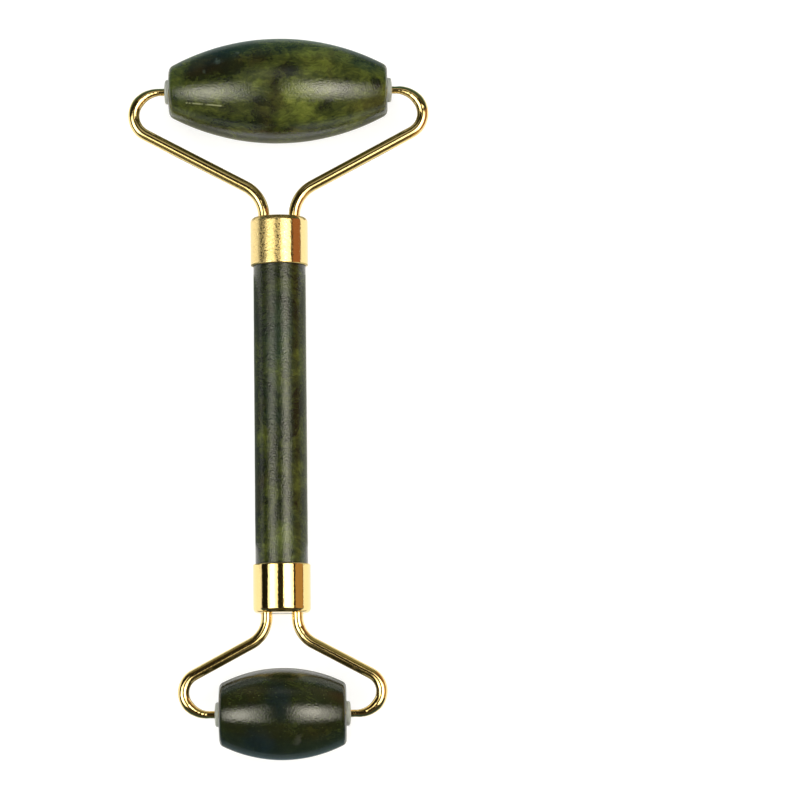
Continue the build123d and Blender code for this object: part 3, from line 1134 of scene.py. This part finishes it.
box_height = 1.05
soft_boxes = {
    "right_soft_box": (
        ((0.13, -0.46), (1.34, -0.86), (1.18, 0.40), (0.10, 0.32)),
        (1.12, 1.065, 0.89),
        cloth_light(lamp=(0.32, 0.61), reach=(0.34, 0.36), peak=5.2),
    ),
    "left_soft_box": (
        ((-1.68, -1.04), (-0.22, -0.50), (-0.27, 0.31), (-1.55, 0.28)),
        (1.0, 0.97, 0.82),
        cloth_light(lamp=(0.54, 0.57), reach=(0.38, 0.44), peak=4.4),
    ),
}
for name, (corners, colour, light) in soft_boxes.items():
    kite(name, corners, box_height, glow(name, colour, light)).visible_camera = False
print(f"{len(soft_boxes)} soft boxes, {box_height} m up")

# %% [markdown]
# ## Cards and room
#
# The rest is there only to be reflected. Dark cards stand beyond both ends of the roller and keep the far
# table from washing out the stone. At the right a brown card and an ochre one give each ferrule its warm
# stripe, and a low pale one stands at the left. Grey sheets on the table beside the rod and under the barrels
# are painted shade: they stand in for the table where it lies in shade, and calm the bright rim that a light
# table gives to polished stone. A dim strip hangs beyond the large barrel. None of them lights anything or
# casts a shadow, and the camera doesn't see them.
#
# The room is dark brown and grows paler towards the near wall. The camera, if it looks past the table,
# sees a plain pale studio.


# %% Cards
card_reach, end_distance, side_distance = 0.3, 0.090, 0.12
shade_sheet_lift, strip_height = 0.3 * MM, 0.15


def upright(x0, y0, x1, y1, low, high):
    """Corners of a card that stands on the line from (x0, y0) to (x1, y1), in metres."""
    return [(x0, y0, low), (x1, y1, low), (x1, y1, high), (x0, y0, high)]


def end_card(y, low, high):
    return upright(-card_reach, y, card_reach, y, low, high)


# Painted shade: a grey sheet on the table, seen only in reflections, that stands in for the table where it
# lies in shade.
def shade_sheet(x0, x1, y0, y1):
    return on_table(rectangle(x0, x1, y0, y1), shade_sheet_lift)


def strip_light(shine):
    """Soft at its four edges."""
    place = shine.node("TexCoord", {}, "Object")
    return patch(shine, place, (-0.060, -0.042, 0.038, 0.056), (0.095, 0.125, 0.160, 0.195), 0.5)


def shaded_foot(shine):
    """Dark up to 3 mm above the ground, full from 9 mm."""
    height = shine.split(shine.node("TexCoord", {}, "Object"))[2]
    return shine.between(height, 0.003, 0.009, 0.1, 1.0)


cards = {
    "far_card": (end_card(end_distance, 0, 0.024), (0.05, 0.13, 0.13)),
    "far_wall": (end_card(end_distance, 0.024, 0.040), (0.06, 0.05, 0.03)),
    "far_shade_sheet": (shade_sheet(-card_reach, card_reach, 0.0735, end_distance), (0.34, 0.42, 0.40)),
    "near_card": (end_card(-end_distance, 0, 0.024), (0.03, 0.07, 0.09)),
    "near_wall": (end_card(-end_distance, 0.024, 0.075), (0.06, 0.05, 0.03)),
    "near_shade_sheet": (shade_sheet(-card_reach, card_reach, -end_distance, -0.0735), (0.20, 0.28, 0.31)),
    "brown_card": (upright(side_distance, -0.01, side_distance, 0.09, 0, 0.09), (0.38, 0.15, 0.07)),
    "ochre_card": (upright(side_distance, -0.09, side_distance, -0.01, 0, 0.09), (0.50, 0.29, 0.11)),
    "pale_card": (upright(-card_reach, -0.09, -card_reach, 0.09, 0, 0.035), (0.95, 0.93, 0.90)),
    "left_shade_sheet": (shade_sheet(-0.09, -0.0057, -0.029, 0.026), (0.20, 0.23, 0.20)),
    "right_shade_sheet": (shade_sheet(0.0057, 0.09, -0.029, 0.026), (0.60, 0.61, 0.50)),
    "large_shade": (shade_sheet(-0.026, 0.026, 0.0400, 0.0735), (0.42, 0.41, 0.32)),
    "small_shade": (shade_sheet(-0.016, 0.016, -0.0735, -0.0500), (0.40, 0.40, 0.34)),
    "strip": ([(x, y, strip_height) for x, y in rectangle(-0.06, 0.06, 0.09, 0.20)], (1.0, 0.98, 0.86)),
}
shading = {"brown_card": shaded_foot, "ochre_card": shaded_foot, "strip": strip_light}
for name, (corners, colour) in cards.items():
    card = flat_panel(name, corners, glow(name, colour, shading.get(name, 1.0)))
    card.visible_camera = card.visible_diffuse = card.visible_shadow = card.visible_transmission = False
print(len(cards), "cards and mats")


# %% Room and fill
class Room(Finish):
    """The same helper for the world, whose nodes live in another tree."""

    def __init__(self, world):
        world.use_nodes = True
        self.tree = world.node_tree
        self.tree.nodes.clear()


world = bpy.data.worlds.new("studio")
bpy.context.scene.world = world
room = Room(world)
towards_right, towards_far, _ = room.split(room.node("TexCoord", {}, "Generated"))
wall = room.mix(room.between(towards_right, -0.6, 0.6), (0.012, 0.011, 0.006, 1), (0.035, 0.026, 0.012, 1))
aside = room.between(room.size(towards_right), 0.15, 0.40)
far_right = room.times(room.between(towards_far, 0.35, 0.7), room.between(towards_right, 0.0, 0.4))
near_wall = room.mix(room.between(towards_right, -0.5, 0.5), (0.30, 0.27, 0.17, 1), (0.13, 0.11, 0.06, 1))
for share, colour in (
    (room.between(towards_far, 0.35, 0.75), (0.050, 0.038, 0.018, 1)),
    (far_right, (0.19, 0.19, 0.10, 1)),
    (room.times(room.between(towards_far, 0.72, 0.86), aside), (0.32, 0.29, 0.18, 1)),
    (room.between(towards_far, -0.45, -0.80), near_wall),
):
    wall = room.mix(share, wall, colour)
dark_room = room.node("Background", {"Color": wall})
pale_studio = room.node("Background", {"Color": (0.95, 0.95, 0.95, 1)})
seen = room.node("LightPath", {}, "Is Camera Ray")
either = room.node("MixShader", {0: seen, 1: dark_room, 2: pale_studio})
room.tree.links.new(either, room.tree.nodes.new("ShaderNodeOutputWorld").inputs["Surface"])

fill_data = bpy.data.lights.new("overhead_fill", "AREA")
fill_data.shape, fill_data.size, fill_data.energy = "DISK", 1.6, 27.0
fill = bpy.data.objects.new("overhead_fill", fill_data)
fill.location = (0, 0.1, 1.3)
bpy.context.scene.collection.objects.link(fill)
fill.visible_glossy = fill.visible_camera = False

# %% [markdown]
# ## The camera
#
# It looks down from nearly overhead, a few degrees towards the small end, and is aimed 24 mm to the right
# of the roller, which leaves room beside it. A long lens keeps both barrels in true proportion.


# %% Camera
lens, distance = 202.5, 0.90
tilt, roll = radians(6.2), radians(-0.6)
aim = Vector((0.0239, -0.0009, large_end.axle[2] * MM))
spin = Matrix.Rotation(roll, 3, "Z")
back = spin @ Vector((0, -sin(tilt), cos(tilt)))
up = spin @ Vector((0, cos(tilt), sin(tilt)))
camera_data = bpy.data.cameras.new("camera")
camera_data.sensor_width, camera_data.lens = 36, lens
camera = bpy.data.objects.new("camera", camera_data)
camera.matrix_world = (
    Matrix.Translation(aim + back * distance) @ Matrix((up.cross(back), up, back)).transposed().to_4x4()
)
bpy.context.scene.collection.objects.link(camera)
bpy.context.scene.camera = camera
bpy.context.scene.view_settings.view_transform = "Standard"
